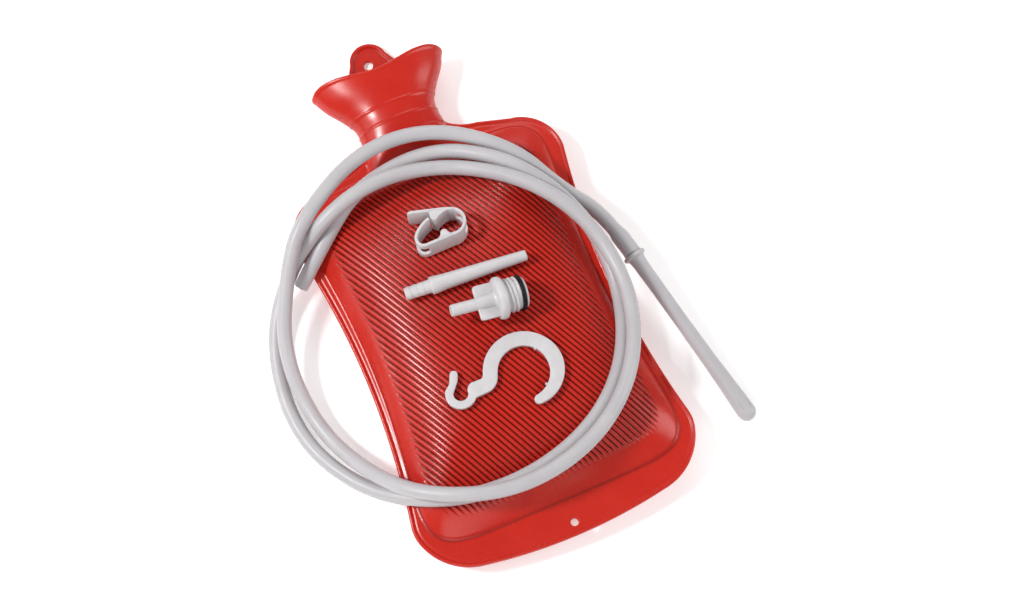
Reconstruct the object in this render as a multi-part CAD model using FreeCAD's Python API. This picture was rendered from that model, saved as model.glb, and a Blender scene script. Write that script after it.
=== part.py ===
"""Rubber irrigation bag lying on its back, with its hose, nozzles, adaptor, pinch clamp and hook.

Millimetres.  +Z is up and +Y points out of the filling mouth.  The origin is on the
surface that the bag lies on, under the middle of the bag and its hanging tab.
"""
import FreeCAD, Part
import math
import os

V = FreeCAD.Vector
UP = V(0, 0, 1)
os.makedirs("parts", exist_ok=True)

# ---- bag -------------------------------------------------------------------
SEAM_Z = 18.0            # height of the seam between the two walls
FLANGE = 2.0             # thickness of each wall's flange at the seam
WALL = 2.4               # rubber thickness of the walls
CROWN = 26.0             # rise of the front wall above the seam
BELLY = 30.0             # drop that the back wall would have, before the surface flattens it
CROWN_POWER = 4          # how flat the crown is
BODY_Y = -38.0           # middle of the water space, along Y
BODY_HALF = 130.0        # half its length
WAIST_Y = -30.0          # where the water space is narrowest
WAIST_HALF = 84.0        # half its width there
WAIST_FLARE = 9.0        # extra half width 100 mm from the waist
CORNER_POWER = 7         # squareness of the water space's corners
BOTTOM_Y = -190.0        # edge of the wide bottom flange
NECK_Y = 108.0           # where the walls end and the neck piece starts
MOUTH_Y = 160.0          # plane of the funnel's back rim
RIM_Y = 163.0            # end of its loft, before the rim is trimmed
NECK_BORE_R = 14.5       # bore of the neck, which holds the insert
INSERT_Y = (112.0, 130.0)
THREAD_BORE_R = 11.0     # bore of the insert, over its thread's crests
HANG_HOLE_R = 2.6        # hole in the bottom flange
HANG_HOLE_Y = -181.5
TAB_HOLE_R = 3.2         # hole in the hanging tab
TAB_HOLE_AT = (-1.4, 174.2)
TAB_SIDE = [(21.0, MOUTH_Y), (16.8, 172.5), (13.2, 179.0)]   # right side of the tab, from the rim
TAB_TOP_Y = 190.0        # end of the tab
TAB_Z = (1.0, 5.0)

# sections: y, half width, half height in front of the seam, half height behind it
WALL_ROOT = [(66.0, 34.0, 3.0, 3.0), (82.0, 34.0, 8.0, 8.0), (96.0, 32.0, 12.5, 12.5),
             (NECK_Y, 30.0, 16.0, 15.5)]
ROOT_SPACE = [(58.0, 24.0, 5.0, 5.0), (84.0, 24.0, 6.0, 6.0), (96.0, 20.0, 9.5, 9.5),
              (NECK_Y, 16.0, 12.5, 12.5)]
FUNNEL = [(NECK_Y, 30.0, 16.0, 15.5), (117.0, 29.0, 17.5, 16.3), (126.0, 29.5, 18.0, 16.5),
          (136.0, 35.0, 18.7, 16.8), (147.0, 43.0, 20.2, 17.3), (RIM_Y, 50.6, 22.4, 17.9)]
NECK_SPACE = [(NECK_Y, 16.0, 12.5, 12.5), (INSERT_Y[0], NECK_BORE_R - 0.5, 13.0, 13.0)]
FUNNEL_SPACE = [(INSERT_Y[1], NECK_BORE_R - 0.7, 13.4, 12.6), (138.0, 26.0, 15.0, 13.4),
                (147.0, 39.0, 17.0, 14.2), (RIM_Y, 47.6, 19.4, 15.0)]

# half of the rim's edge, seen from above: the front lip sags between two shoulders
FRONT_RIM = [(0.0, 156.0), (19.0, 159.1), (36.0, 162.0), (44.0, 161.2), (52.0, 156.5)]
BACK_RIM = [(0.0, MOUTH_Y), (40.0, MOUTH_Y), (46.0, 159.6), (52.0, 156.5)]

# ---- hose: one free cord, its open end first, the long nozzle last -----------
HOSE_OD = 10.0
HOSE_ID = 6.5
HOSE_ROUTE = [
    (-105, 36, 21), (-76, 58, 37), (-44, 81, 40), (10, 88, 39), (51, 60, 50), (77, 26, 44), (93, -15, 30),
    (87, -66, 29), (63, -110, 45), (24, -138, 48), (-28, -148, 44), (-78, -138, 37), (-120, -106, 15),
    (-146, -53, 7), (-138, 11, 7), (-110, 49, 18), (-77, 65, 49), (-37, 76, 54), (6, 74, 43), (43, 52, 51),
    (72, 22, 54), (92, -15, 41), (93, -66, 43), (69, -115, 53), (26, -146, 55), (-30, -154, 54),
    (-84, -133, 48), (-112, -98, 22), (-131, -54, 9), (-133, -1, 19), (-111, 43, 37), (-89, 70, 51),
    (-37, 101, 48), (16, 99, 46), (62, 65, 43), (81, 28, 34), (102.4, 3, 25.2), (109.4, -29.9, 21.4),
]

# ---- loose pieces ------------------------------------------------------------
REST_GAP = 0.3           # clearance of a loose piece over what it lies on
LIE_Z = SEAM_Z + CROWN + REST_GAP
BARB_FIT = 0.05          # running clearance of the nozzle's barb in the hose, on the radius

LONG_NOZZLE_LEN = 137.0  # from the hose's end to the end of the bulb
LONG_BARB_LEN = 18.0
COLLAR_R = 8.0
LUMEN_R = 2.0            # water channel of the long nozzle
BULB_R = 6.4
FLUTES = 6

SHORT_NOZZLE_AT = (-44.4, -4.4)
SHORT_NOZZLE_TO = (38.8, -10.6)
SHORT_LEN = 84.0
SHORT_LUMEN_R = 2.2

ADAPTOR_AT = (-22.6, -30.6)
ADAPTOR_TO = (28.3, -35.1)
SPIGOT_R = 4.0
SPIGOT_LEN = 17.6
WING = (23.4, 13.0, 3.2)  # width across, length along the axis, thickness
ADAPTOR_FLANGE_R = 14.4
ADAPTOR_FLANGE_LEN = 6.2
THREAD_R = 11.7
THREAD_ROOT_R = 10.4
THREAD_PITCH = 3.0
THREAD_TURNS = 3
RING_MID_R = 10.7        # seal ring: radius to the middle of its section
RING_R = 1.35            # and of the section
RING_FIT = 0.05          # gap at each side of the ring in its groove
NOSE_R = 9.6
NOSE_LEN = 1.8
ADAPTOR_LUMEN_R = 2.6
CUP_DEPTH = 12.0         # wide opening in the nose

HOOK_AT = (6.8, -81.9)   # centre of the hook's large bow
HOOK_TURN = -23.25       # degrees, about +Z
HOOK_THICK = 4.0

CLAMP_AT = (-22.0, 21.5)
CLAMP_TURN = -4.0
CLAMP_TILT = -8.5
CLAMP_Z = 43.75
CLAMP_W = 17.0           # width of the clamp's strip, which stands on its edge
STRIP = 2.0              # thickness of the strip
BOW = (23.2, 5.4)        # centre of the clamp's round bow, in its own plan
BOW_R = 9.3
HINGE_TURN = 62          # degrees round the bow where the lever flexes
HINGE_GAP = 0.3
TOOTH_AT = (16.6, -1.0)  # round tooth of the lower jaw
TOOTH_R = 2.4
SLOT_H = 8.0             # height of the hose slots
BOW_SLOT_LEN = 14.0      # length of the slot in the bow


# ---- helpers -----------------------------------------------------------------
def save(shape, node):
    """Write one node and print what it holds."""
    shape.exportStep("parts/%s.step" % node)
    print("%-16s solids %d  valid %s  volume %.2f cm3" % (
        node, len(shape.Solids), shape.isValid(), shape.Volume / 1000.0))


def cylinder(r, y0, y1, z=SEAM_Z):
    """A round bar along +Y on the bag's centre line."""
    return Part.makeCylinder(r, y1 - y0, V(0, y0, z), V(0, 1, 0))


def plate(wire, z0, z1):
    """A flat prism between two heights, from a closed wire drawn at height 0."""
    face = Part.Face(wire)
    face.translate(V(0, 0, z0))
    return face.extrude(V(0, 0, z1 - z0))


def arc(a, b, c):
    """A circular edge through three points of the plane z = 0."""
    return Part.Arc(V(*a, 0), V(*b, 0), V(*c, 0)).toShape()


def line(a, b):
    return Part.makeLine(V(*a, 0), V(*b, 0))


def aimed(shape, start, end):
    """Turn a piece built along +Z from the origin so that it runs from start towards end."""
    placed = shape.copy()
    placed.Placement = FreeCAD.Placement(V(*start), FreeCAD.Rotation(UP, V(*end) - V(*start)))
    return placed


def turned(profile):
    """A solid of revolution about +Z from (radius, height) points; the ends close on the axis."""
    points = [V(0, 0, profile[0][1])] + [V(r, 0, h) for r, h in profile] + [V(0, 0, profile[-1][1])]
    face = Part.Face(Part.makePolygon(points + [points[0]]))
    return face.revolve(V(0, 0, 0), UP, 360)


# ---- bag -----------------------------------------------------------------------
def body_radius(x, y, inset):
    """0 at the middle of the water space and 1 on its edge, inset by so many millimetres."""
    half = WAIST_HALF + WAIST_FLARE * ((y - WAIST_Y) / 100.0) ** 2 - inset
    u = abs(x) / half
    v = abs(y - BODY_Y) / (BODY_HALF - inset)
    return (u ** CORNER_POWER + v ** CORNER_POWER) ** (1.0 / CORNER_POWER)


def pillow(rise, inset, side):
    """The solid between the seam plane and a pillow-shaped wall; side is 1 in front, -1 behind."""
    rows = []
    for i in range(41):
        x = -105.0 + 210.0 * i / 40
        row = []
        for j in range(61):
            y = -196.0 + 310.0 * j / 60
            z = SEAM_Z + side * rise * (1 - body_radius(x, y, inset) ** CROWN_POWER)
            row.append(V(x, y, z))
        rows.append(row)
    surface = Part.BSplineSurface()
    surface.interpolate(rows)
    slab = surface.toShape().extrude(V(0, 0, -side * 160.0))
    floor_z = 0.0 if inset == 0 else WALL
    z0, z1 = (SEAM_Z, SEAM_Z + 60) if side > 0 else (floor_z, SEAM_Z)
    window = Part.makeBox(212, 300, z1 - z0, V(-106, -180, z0))
    return slab.common(window)


def tube_half(sections, side):
    """Half of a flattened tube along Y, in front of or behind the seam plane."""
    wires = []
    for y, half_width, front, back in sections:
        rise = front if side > 0 else -back
        ellipse = Part.Ellipse(V(half_width, y, SEAM_Z), V(0, y, SEAM_Z + rise), V(0, y, SEAM_Z))
        bow = Part.ArcOfEllipse(ellipse, 0, math.pi).toShape()
        base = Part.makeLine(bow.Vertexes[-1].Point, bow.Vertexes[0].Point)
        wires.append(Part.Wire([bow, base]))
    return Part.makeLoft(wires, True, False)


def outline():
    """Edge of the flange, up to the neck, as a closed wire."""
    bottom = (63.0, -184.5)
    corner = (98.4, -154.7)
    side = (99.0, -142.4)
    shoulder = (98.0, 60.0)
    top = (72.0, 93.0)
    fillet = (50.0, 99.5)
    neck = (30.0, NECK_Y)
    right = [
        arc(bottom, (90.5, -169.5), corner),
        arc(corner, (99.4, -148.6), side),
        arc(side, (89.2, -27.0), shoulder),
        arc(shoulder, (91.0, 82.5), top),
        line(top, fillet),
        arc(fillet, (38.5, 102.6), neck),
    ]
    left = [edge.mirror(V(0, 0, 0), V(1, 0, 0)) for edge in right]
    base = arc((-bottom[0], bottom[1]), (0, BOTTOM_Y), bottom)
    across = line(neck, (-neck[0], neck[1]))
    return Part.Wire(Part.sortEdges([base, across] + right + left)[0])


def bag_wall(side):
    """One wall: flange, pillow and the root of the neck, hollowed from the seam plane."""
    z0, z1 = (SEAM_Z, SEAM_Z + FLANGE) if side > 0 else (SEAM_Z - FLANGE, SEAM_Z)
    rise = CROWN if side > 0 else BELLY
    wall = plate(outline(), z0, z1)
    wall = wall.fuse(pillow(rise, 0, side))
    wall = wall.fuse(tube_half(WALL_ROOT, side))
    wall = wall.cut(pillow(rise - WALL, WALL, side))
    wall = wall.cut(tube_half(ROOT_SPACE, side))
    hole = Part.makeCylinder(HANG_HOLE_R, 40, V(0, HANG_HOLE_Y, 0))
    return wall.cut(hole)


def rim_points(half):
    """The whole rim's points, from -X to +X, from its right half."""
    return [V(-x, y, 0) for x, y in reversed(half[1:])] + [V(x, y, 0) for x, y in half]


def beyond_rim(rim, z0, z1):
    """The block past a rim line, between two heights."""
    first, last = rim.Vertexes[0].Point, rim.Vertexes[-1].Point
    far = RIM_Y + 5
    sides = Part.makePolygon([last, V(last.x, far, 0), V(first.x, far, 0), first])
    return plate(Part.Wire(rim.Edges + sides.Edges), z0, z1)


def mouth_funnel():
    """The neck and the filling funnel, bored for the insert."""
    outer = tube_half(FUNNEL, 1).fuse(tube_half(FUNNEL, -1))
    for sections in (NECK_SPACE, FUNNEL_SPACE):
        outer = outer.cut(tube_half(sections, 1))
        outer = outer.cut(tube_half(sections, -1))
    front = Part.BSplineCurve()
    front.interpolate(rim_points(FRONT_RIM))
    back = Part.makePolygon(rim_points(BACK_RIM))
    outer = outer.cut(beyond_rim(front.toShape(), SEAM_Z, SEAM_Z + 40))
    outer = outer.cut(beyond_rim(back, SEAM_Z - 40, SEAM_Z))
    return outer.cut(cylinder(NECK_BORE_R, *INSERT_Y))


def neck_insert():
    """Metal ferrule with an internal thread, flush with the bore of the neck."""
    y0, y1 = INSERT_Y
    ring = cylinder(NECK_BORE_R, y0, y1).cut(cylinder(THREAD_BORE_R, y0 - 1, y1 + 1))
    lead_in = Part.makeCone(THREAD_BORE_R, THREAD_BORE_R + 1.5, 1.5, V(0, y1 - 1.5, SEAM_Z), V(0, 1, 0))
    return ring.cut(lead_in)


def hanging_tab():
    """The eye that the bag hangs from, on the back edge of the rim."""
    z0, z1 = TAB_Z
    left = [(-x, y) for x, y in TAB_SIDE]
    base, flare, top = TAB_SIDE
    wire = Part.Wire([
        line(left[0], base),
        line(base, flare),
        line(flare, top),
        arc(top, (0, TAB_TOP_Y), left[2]),
        line(left[2], left[1]),
        line(left[1], left[0]),
    ])
    hole = Part.makeCylinder(TAB_HOLE_R, 20, V(*TAB_HOLE_AT, -5))
    return plate(wire, z0, z1).cut(hole)


# ---- hose ------------------------------------------------------------------------
def hose_path():
    """Straight runs joined by the largest tangent arcs that the runs allow; prints the radii."""
    points = [V(*p) for p in HOSE_ROUTE]
    edges, radii = [], []
    start = points[0]
    for before, corner, after in zip(points, points[1:], points[2:]):
        to_before, to_after = before - corner, after - corner
        half_turn = (math.pi - to_before.getAngle(to_after)) / 2
        reach = 0.45 * min(to_before.Length, to_after.Length)
        radius = reach / math.tan(half_turn)
        first = corner + to_before.normalize() * reach
        last = corner + to_after.normalize() * reach
        inward = (to_before + to_after).normalize()
        middle = corner + inward * (radius / math.cos(half_turn) - radius)
        edges.append(Part.LineSegment(start, first).toShape())
        edges.append(Part.Arc(first, middle, last).toShape())
        radii.append(radius)
        start = last
    edges.append(Part.LineSegment(start, points[-1]).toShape())
    print("hose radii", [round(r) for r in radii])
    return Part.Wire(edges)


def hose():
    """A hollow tube along the route; its volume is compared with section times length."""
    path = hose_path()
    start = path.Vertexes[0].Point
    along = V(*HOSE_ROUTE[1]) - V(*HOSE_ROUTE[0])
    shells = []
    for radius in (HOSE_OD / 2, HOSE_ID / 2):
        ring = Part.Wire(Part.makeCircle(radius, start, along))
        shells.append(path.makePipeShell([ring], True, False))
    tube = shells[0].cut(shells[1])
    section = math.pi * (HOSE_OD ** 2 - HOSE_ID ** 2) / 4
    print("hose length %.0f  volume ratio %.4f" % (path.Length, tube.Volume / (section * path.Length)))
    return tube


# ---- nozzles and adaptor -------------------------------------------------------------
def long_nozzle():
    """Barb, collar, slender shaft and a fluted bulb, bored for water."""
    barb_r = HOSE_ID / 2 - BARB_FIT
    end = LONG_NOZZLE_LEN
    profile = [(barb_r - 0.5, -LONG_BARB_LEN), (barb_r, -LONG_BARB_LEN + 1.5), (barb_r, REST_GAP),
               (COLLAR_R - 0.8, REST_GAP), (COLLAR_R, 1.2), (COLLAR_R, 2.6), (COLLAR_R - 0.8, 3.5),
               (5.2, 3.5), (4.9, 30.0), (4.9, 60.0), (5.2, 88.0), (5.8, 108.0), (6.3, 122.0)]
    crown = [(BULB_R * math.cos(math.radians(a)), end - BULB_R + BULB_R * math.sin(math.radians(a)))
             for a in range(0, 90, 10)]
    body = turned(profile + crown + [(0.4, end)])
    body = body.cut(Part.makeCylinder(LUMEN_R, LONG_BARB_LEN + end - 12, V(0, 0, -LONG_BARB_LEN)))
    for i in range(FLUTES):
        turn = 2 * math.pi * i / FLUTES
        x, y = (BULB_R + 0.5) * math.cos(turn), (BULB_R + 0.5) * math.sin(turn)
        body = body.cut(Part.makeCylinder(1.1, 12, V(x, y, end - 18)))
    return body


def short_nozzle():
    """Barbed end, shoulder and a tapering tip, bored through."""
    barb = [(4.2, 0.0), (4.4, 3.5), (4.1, 4.0), (4.5, 8.0), (4.2, 8.5), (4.6, 12.5), (4.3, 13.0), (4.7, 17.6)]
    tip = [(6.0, 17.6), (6.0, 20.5), (5.3, 28.0), (4.7, 50.0), (4.0, 72.0), (3.6, SHORT_LEN - 0.8),
           (2.9, SHORT_LEN)]
    bore = Part.makeCylinder(SHORT_LUMEN_R, SHORT_LEN + 2, V(0, 0, -1))
    return turned(barb + tip).cut(bore)


def adaptor_heights():
    """Where the flange, the thread, the ring's groove and the nose start, along the adaptor."""
    flange_z = SPIGOT_LEN + WING[1]
    thread_z = flange_z + ADAPTOR_FLANGE_LEN
    groove_z = thread_z + THREAD_TURNS * THREAD_PITCH + 0.6
    return flange_z, thread_z, groove_z, groove_z + 2 * (RING_R + RING_FIT)


def adaptor():
    """Hose spigot, thumb wing, flange, thread, groove and nose in one moulding."""
    wing_w, wing_len, wing_t = WING
    flange_z, thread_z, groove_z, nose_z = adaptor_heights()
    end_z = nose_z + NOSE_LEN
    flange_mid_z = (flange_z + thread_z) / 2
    profile = [(SPIGOT_R - 0.4, 0.0), (SPIGOT_R, 0.6), (SPIGOT_R, SPIGOT_LEN), (SPIGOT_R + 1.2, flange_z),
               (ADAPTOR_FLANGE_R - 1.6, flange_z), (ADAPTOR_FLANGE_R - 0.4, flange_z + 1.2),
               (ADAPTOR_FLANGE_R, flange_mid_z), (ADAPTOR_FLANGE_R - 0.4, thread_z - 1.2),
               (ADAPTOR_FLANGE_R - 1.6, thread_z), (THREAD_ROOT_R, thread_z)]
    for i in range(THREAD_TURNS):
        z = thread_z + i * THREAD_PITCH
        profile += [(THREAD_ROOT_R, z + 0.5), (THREAD_R, z + 1.3), (THREAD_R, z + 1.9),
                    (THREAD_ROOT_R, z + 2.7)]
    profile += [(THREAD_ROOT_R, groove_z), (RING_MID_R - RING_R, groove_z), (RING_MID_R - RING_R, nose_z),
                (NOSE_R + 0.8, nose_z), (NOSE_R + 0.8, nose_z + 0.7), (NOSE_R, end_z)]
    body = turned(profile)
    body = body.fuse(Part.makeBox(wing_t, wing_w, wing_len, V(-wing_t / 2, -wing_w / 2, SPIGOT_LEN)))
    bore = Part.makeCylinder(ADAPTOR_LUMEN_R, nose_z + 6, V(0, 0, -1))
    cup = Part.makeCylinder(NOSE_R - 2.2, CUP_DEPTH + 2, V(0, 0, end_z - CUP_DEPTH))
    return body.cut(bore).cut(cup).removeSplitter(), groove_z + RING_R + RING_FIT


def adaptor_line():
    """Start and end of the adaptor's axis: it rests on its flange, and on its ring at the nose."""
    flange_z, thread_z, groove_z, _ = adaptor_heights()
    flange_at = (flange_z + thread_z) / 2
    length = math.dist(ADAPTOR_AT, ADAPTOR_TO)
    drop = ADAPTOR_FLANGE_R - RING_MID_R - RING_R
    tilt = drop / (groove_z + RING_R - flange_at)
    start_z = LIE_Z + ADAPTOR_FLANGE_R + flange_at * tilt
    return (*ADAPTOR_AT, start_z), (*ADAPTOR_TO, start_z - length * tilt)


# ---- hook ------------------------------------------------------------------------------
def s_hook():
    """Flat hook: a large bow, an oblique link and a small hook."""
    big_out, big_in, small_out, small_in = 26.7, 17.0, 10.2, 4.9
    small = V(-40.8, -15.2)
    tip = math.radians(-62)
    mid_r = (big_out + big_in) / 2 - 0.6

    def on(centre, r, degrees):
        a = math.radians(degrees)
        return (centre.x + r * math.cos(a), centre.y + r * math.sin(a))

    zero = V(0, 0)
    tip_r = 3.1
    tip_mid = (mid_r * math.cos(tip), mid_r * math.sin(tip))
    tip_out = (tip_mid[0] + tip_r * math.cos(tip), tip_mid[1] + tip_r * math.sin(tip))
    tip_in = (tip_mid[0] - tip_r * math.cos(tip), tip_mid[1] - tip_r * math.sin(tip))
    tip_end = (tip_mid[0] + tip_r * math.sin(tip), tip_mid[1] - tip_r * math.cos(tip))
    tip_x, tip_y, nib = -45.6, -2.6, 2.6
    edges = [
        arc(tip_out, on(V(0.8, 1.0), big_out - 0.9, -10), on(zero, big_out, 60)),
        arc(on(zero, big_out, 60), on(zero, big_out, 120), (-big_out, 0)),
        line((-big_out, 0), (-big_out, -4.8)),
        line((-big_out, -4.8), (-34.2, -8.0)),
        arc((-34.2, -8.0), (-36.1, -10.4), on(small, small_in, 5)),
        arc(on(small, small_in, 5), on(small, small_in, -85), on(small, small_in, 180)),
        line(on(small, small_in, 180), (tip_x + nib, tip_y - 4.0)),
        line((tip_x + nib, tip_y - 4.0), (tip_x + nib, tip_y)),
        arc((tip_x + nib, tip_y), (tip_x, tip_y + nib), (tip_x - nib, tip_y)),
        line((tip_x - nib, tip_y), (tip_x - 2.8, tip_y - 6.5)),
        line((tip_x - 2.8, tip_y - 6.5), on(small, small_out, 170)),
        arc(on(small, small_out, 170), on(small, small_out, -110), on(small, small_out, -15)),
        line(on(small, small_out, -15), (-22.4, -13.8)),
        arc((-22.4, -13.8), (-18.4, -9.6), (-big_in, -4.8)),
        line((-big_in, -4.8), (-big_in, 0)),
        arc((-big_in, 0), on(zero, big_in, 120), on(zero, big_in, 60)),
        arc(on(zero, big_in, 60), on(V(0.2, 0.4), big_in, -5), tip_in),
        arc(tip_in, tip_end, tip_out),
    ]
    hook = plate(Part.Wire(edges), 0, HOOK_THICK)
    for degrees in (64, -30):
        x, y = on(zero, big_in - 0.1, degrees)
        hook = hook.fuse(Part.makeCylinder(0.7, HOOK_THICK, V(x, y, 0)))
    hook.rotate(V(0, 0, 0), UP, HOOK_TURN)
    hook.translate(V(*HOOK_AT, LIE_Z))
    return hook.removeSplitter()


# ---- pinch clamp -----------------------------------------------------------------------
def strip(points, width=CLAMP_W, z=0.0, thick=STRIP):
    """A strip on its edge that follows a line of plan points, with round corners."""
    middle = Part.makePolygon([V(x, y, 0) for x, y in points])
    band = middle.makeOffset2D(thick / 2, 0, False, False, False)
    return plate(band, z, z + width)


def clamp_pose(shape):
    shape.rotate(V(0, 0, 0), UP, CLAMP_TURN)
    shape.rotate(V(0, 0, 0), V(1, 0, 0), CLAMP_TILT)
    shape.translate(V(*CLAMP_AT, CLAMP_Z))
    return shape


def bow_point(degrees, r=BOW_R):
    """A plan point round the clamp's bow."""
    a = math.radians(degrees)
    return (BOW[0] + r * math.cos(a), BOW[1] + r * math.sin(a))


def clamp_frame():
    """Latch wall, lower jaw with its tooth, and the round bow, with the two hose slots."""
    wall = [(10.2, 12.2), (6.4, 10.5), (2.4, 7.6), (-0.9, 4.2), (-2.3, 1.2), (-2.0, -2.2), (-0.4, -4.6),
            (2.0, -5.6)]
    bow = [bow_point(-96 + (HINGE_TURN + 96) * i / 14) for i in range(15)]
    frame = strip(wall + bow)
    x, y = TOOTH_AT
    foot = [(x - 5.4, y - 3.6), (x - TOOTH_R, y), (x + TOOTH_R, y), (x + 5.4, y - 3.2), (x - 5.4, y - 3.6)]
    frame = frame.fuse(Part.makeCylinder(TOOTH_R, CLAMP_W, V(x, y, 0)))
    frame = frame.fuse(plate(Part.makePolygon([V(a, b, 0) for a, b in foot]), 0, CLAMP_W))
    slot_z = (CLAMP_W - SLOT_H) / 2
    bow_slot = Part.makeBox(8, BOW_SLOT_LEN, SLOT_H, V(BOW[0] + 5, BOW[1] - BOW_SLOT_LEN / 2, slot_z))
    wall_slot = Part.makeBox(9, 10.5, SLOT_H, V(-5, -8, slot_z))
    knuckle = Part.makeCylinder(STRIP / 2 + HINGE_GAP, CLAMP_W, V(*bow_point(HINGE_TURN), 0))
    return frame.cut(bow_slot).cut(wall_slot).cut(knuckle)


def clamp_lever():
    """Upper arm that ends in a thumb tab, with a solid web and its blunt tooth."""
    hinge = bow_point(HINGE_TURN)
    arm = strip([hinge, (22.0, 15.6), (13.4, 17.5), (-2.2, 21.2)])
    arm = arm.fuse(Part.makeCylinder(STRIP / 2, CLAMP_W, V(*hinge, 0)))
    inner_r = BOW_R - STRIP / 2
    web = [(11.8, 17.8), (11.6, 11.7), (14.0, 9.4), bow_point(131, inner_r + 0.5), bow_point(110, inner_r),
           bow_point(95, inner_r), (22.0, 15.6), (11.8, 17.8)]
    return arm.fuse(plate(Part.makePolygon([V(x, y, 0) for x, y in web]), 0, CLAMP_W))


def main():
    save(bag_wall(1), "bag_front_wall")
    save(bag_wall(-1), "bag_back_wall")
    save(mouth_funnel(), "mouth_funnel")
    save(neck_insert(), "neck_insert")
    save(hanging_tab(), "hanging_tab")
    save(hose(), "hose")
    end, before = HOSE_ROUTE[-1], HOSE_ROUTE[-2]
    beyond = [2 * e - b for e, b in zip(end, before)]
    save(aimed(long_nozzle(), end, beyond), "long_nozzle")
    rest = LIE_Z + 6.0
    save(aimed(short_nozzle(), (*SHORT_NOZZLE_AT, rest), (*SHORT_NOZZLE_TO, rest - 0.6)), "short_nozzle")
    plug, ring_z = adaptor()
    save(aimed(plug, *adaptor_line()), "adaptor")
    ring = Part.makeTorus(RING_MID_R, RING_R, V(0, 0, ring_z))
    save(aimed(ring, *adaptor_line()), "adaptor_seal_ring")
    save(s_hook(), "s_hook")
    save(clamp_pose(clamp_frame()), "clamp_frame")
    save(clamp_pose(clamp_lever()), "clamp_lever")


main()
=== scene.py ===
"""Looks of the rubber irrigation bag and its kit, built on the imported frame.

Blender works in metres.  Shapes here are worked out in millimetres, in the frame's own axes,
and MM turns them into metres when a mesh is made.
"""
import math

import bpy
import numpy as np
from mathutils import Matrix, Vector
from mathutils.geometry import delaunay_2d_cdt
from mathutils.kdtree import KDTree


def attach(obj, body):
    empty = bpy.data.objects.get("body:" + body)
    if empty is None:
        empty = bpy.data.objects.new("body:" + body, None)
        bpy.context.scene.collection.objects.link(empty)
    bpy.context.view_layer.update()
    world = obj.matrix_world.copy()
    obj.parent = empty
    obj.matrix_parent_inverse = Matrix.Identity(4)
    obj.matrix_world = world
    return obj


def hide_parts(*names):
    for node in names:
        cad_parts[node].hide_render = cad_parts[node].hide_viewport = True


MM = 0.001
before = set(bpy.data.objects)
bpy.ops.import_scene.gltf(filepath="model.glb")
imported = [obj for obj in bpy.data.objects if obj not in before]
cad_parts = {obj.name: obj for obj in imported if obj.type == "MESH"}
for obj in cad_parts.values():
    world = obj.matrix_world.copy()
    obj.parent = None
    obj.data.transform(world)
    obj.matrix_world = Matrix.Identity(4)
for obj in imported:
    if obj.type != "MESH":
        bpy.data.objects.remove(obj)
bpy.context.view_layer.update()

# ---- camera ----
VIEW_TARGET = Vector((0.022, -0.027, 0.0))
VIEW_AZIMUTH = math.radians(-23.25)
VIEW_ELEVATION = math.radians(74.0)
VIEW_DISTANCE = 1.36
VIEW_LENS = 70.3

# ---- bag, mm ----
SEAM_Z = 18.0
FLANGE = 2.0
WALL = 2.4
CROWN = 26.0
BELLY = 30.0
CROWN_POWER = 4
BODY_Y = -38.0
BODY_HALF = 130.0
WAIST_Y = -30.0
WAIST_HALF = 84.0
WAIST_FLARE = 9.0
CORNER_POWER = 7
NECK_Y = 108.0
NECK_HALF = 30.0
MOUTH_Y = 160.0
RIM_Y = 163.0
BOTTOM_Y = -190.0
HANG_HOLE = (0.0, -181.5)
HANG_HOLE_R = 2.6
WALL_ROOT = [(66, 34, 3, 3), (82, 34, 8, 8), (96, 32, 12.5, 12.5), (NECK_Y, NECK_HALF, 16, 15.5)]
ROOT_SPACE = [(58, 24, 5, 5), (84, 24, 6, 6), (96, 20, 9.5, 9.5), (NECK_Y, 16, 12.5, 12.5)]
FUNNEL = [(NECK_Y, NECK_HALF, 16, 15.5), (117, 29, 17.5, 16.3), (126, 29.5, 18, 16.5),
          (136, 35, 18.7, 16.8), (147, 43, 20.2, 17.3), (RIM_Y, 50.6, 22.4, 17.9)]
FUNNEL_SPACE = [(130, 13.8, 13.4, 12.6), (138, 26, 15, 13.4), (147, 39, 17, 14.2), (RIM_Y, 47.6, 19.4, 15)]
NECK_BORE_R = 14.5
INSERT_Y = (112.0, 130.0)
FRONT_RIM = [(0, 156), (10, 157), (19, 159.2), (28, 161.1), (36, 162), (41, 161.9), (45, 161),
             (48, 159.4), (51, 157)]
BACK_RIM = [(0, MOUTH_Y), (40, MOUTH_Y), (46, 159.6), (48, 159.2), (51, 157)]
TAB_HOLE = (-1.4, 174.2)
TAB_HOLE_R = 3.2
TAB_SIDE = [(21.0, MOUTH_Y), (16.8, 172.5), (13.2, 179.0)]
TAB_TOP_Y = 190.0
TAB_Z = (1.0, 5.0)
TAB_SINK = 1.6
RIM_ROUND = 0.9
NECK_LINES = (119.0, 130.5)

# ribs of the two faces
RIB_ALONG = Vector((0.464, -0.886)).normalized()
RIB_ACROSS = Vector((-RIB_ALONG.y, RIB_ALONG.x))
RIB_PITCH = 3.32
RIB_DEPTH = 1.5
RIB_SHARP = 2.1
RIB_STEPS = 12
STEP_AT = 0.978
STEP_RISE = 1.1
PANEL_INSET = 10.0
PANEL_HALF = 115.0

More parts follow.
